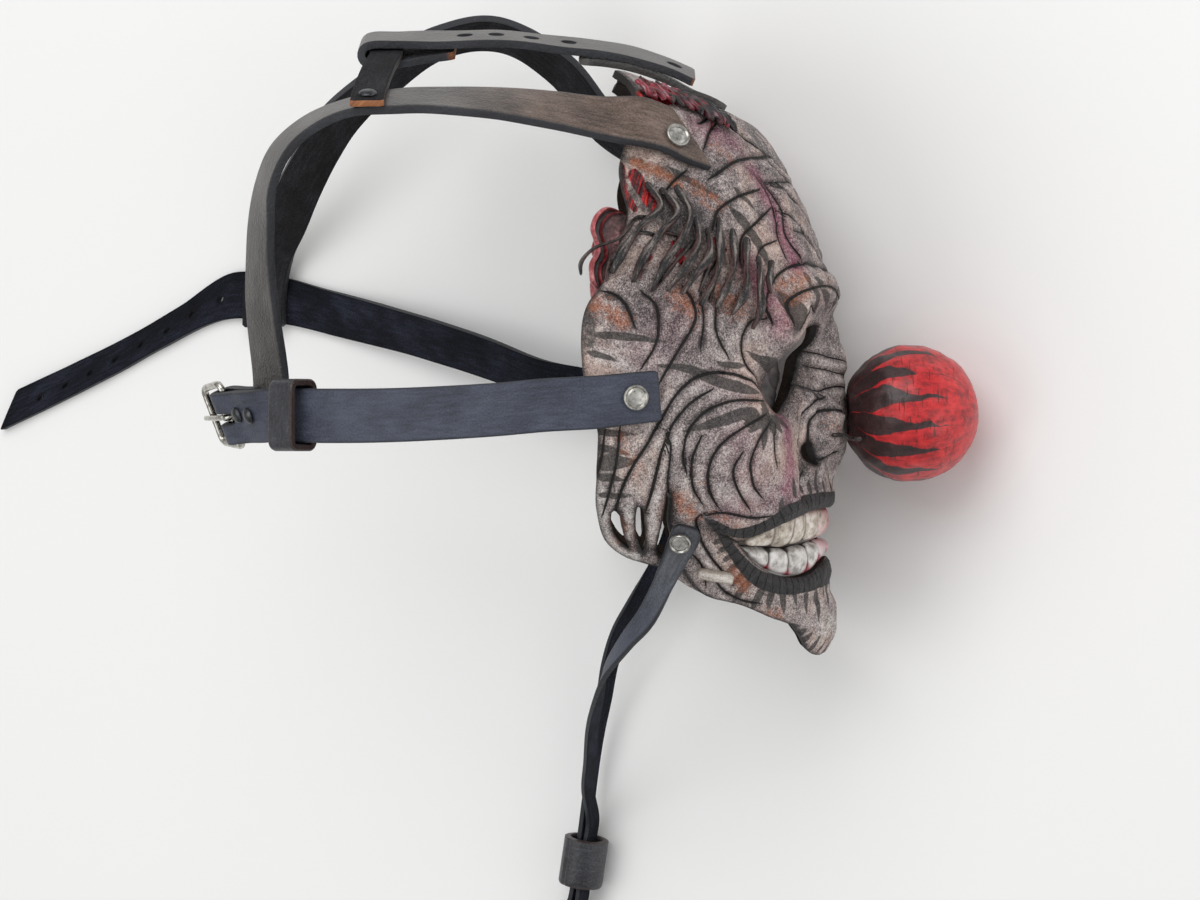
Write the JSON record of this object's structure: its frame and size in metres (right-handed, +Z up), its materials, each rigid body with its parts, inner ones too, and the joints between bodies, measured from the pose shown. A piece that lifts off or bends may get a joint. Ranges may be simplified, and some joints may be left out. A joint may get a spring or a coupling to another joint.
{
  "type": "leather mask",
  "caption": "Moulded leather clown face mask with ball nose, bared teeth and a buckled strap harness, lying on its side.",
  "frame": {"origin": "on the table, under the middle of the part's bounding box as it lies", "axes": "+Z up off the table; +X towards the mask's crown; -Y towards the side it faces; +Y along the tail of the long strap"},
  "size_m": [0.3814, 0.47, 0.1867],
  "materials": {
    "paintedLeather": "distressed hand-painted bone, charcoal, rust and purple",
    "toothPaint": "semi-gloss ivory paint",
    "redBall": "semi-gloss red paint with charcoal streaks",
    "darkThong": "dark brown-black, satin",
    "paleThong": "undyed, matte",
    "redRolled": "glossy red and grey paint",
    "greyLid": "satin grey paint",
    "slateLeather": "matte slate blue",
    "bandLeather": "satin grey-black, browner at the temple",
    "loopLeather": "satin charcoal",
    "nickel": "polished nickel plate",
    "gunmetal": "dark plated cap"
  },
  "bodies": {
    "mask": {"face_shell": "paintedLeather", "upper_teeth": "toothPaint", "lower_teeth": "toothPaint", "eyelid_right": "greyLid", "eyelid_left": "greyLid", "ear_fold_right": "redRolled", "ear_fold_left": "redRolled", "temple_thong_right_1": "darkThong", "temple_thong_left_1": "darkThong", "temple_thong_right_2": "darkThong", "temple_thong_right_3": "darkThong", "temple_thong_left_2": "darkThong", "temple_thong_right_4": "darkThong", "temple_thong_right_5": "darkThong", "temple_thong_left_3": "darkThong", "temple_thong_right_6": "darkThong", "temple_thong_right_7": "darkThong", "temple_thong_left_4": "darkThong", "temple_thong_right_8": "darkThong", "temple_thong_right_9": "darkThong", "temple_thong_left_5": "darkThong", "temple_thong_right_10": "darkThong", "hairline_thong_right": "darkThong", "hairline_thong_left": "darkThong", "jaw_thong_right": "paleThong", "jaw_thong_left": "paleThong", "nose_ball": "redBall", "nose_thong_right": "darkThong", "nose_thong_left": "darkThong", "cheek_strap_right": "slateLeather", "cheek_strap_left": "slateLeather", "strap_keeper": "loopLeather", "band_right": "bandLeather", "band_left": "bandLeather", "crown_strap": "bandLeather", "crown_tab": "bandLeather", "link_strap": "loopLeather", "chin_strap_right": "slateLeather", "chin_strap_left": "slateLeather", "chin_slide": "loopLeather", "rivet_cheek_right": "nickel", "rivet_cheek_left": "nickel", "rivet_temple_right": "nickel", "rivet_temple_left": "nickel", "rivet_jaw_right": "nickel", "rivet_jaw_left": "nickel", "rivet_fold_1": "gunmetal", "rivet_fold_2": "gunmetal", "rivet_link": "gunmetal", "rivet_band_left": "gunmetal"},
    "buckle_frame": {"buckle_frame": "nickel"},
    "buckle_prong": {"buckle_prong": "nickel"}
  },
  "joints": [
    {"name": "frame_hinge", "type": "hinge", "parent": "mask", "child": "buckle_frame", "pos_m": [0.03637, 0.01648, 0.15251], "axis": [0.9325, 0.2285, 0.2798], "range_deg": [-55, 55]},
    {"name": "prong_hinge", "type": "hinge", "parent": "buckle_frame", "child": "buckle_prong", "pos_m": [0.03637, 0.01648, 0.15251], "axis": [0.9325, 0.2285, 0.2798], "range_deg": [0, 70]}
  ]
}
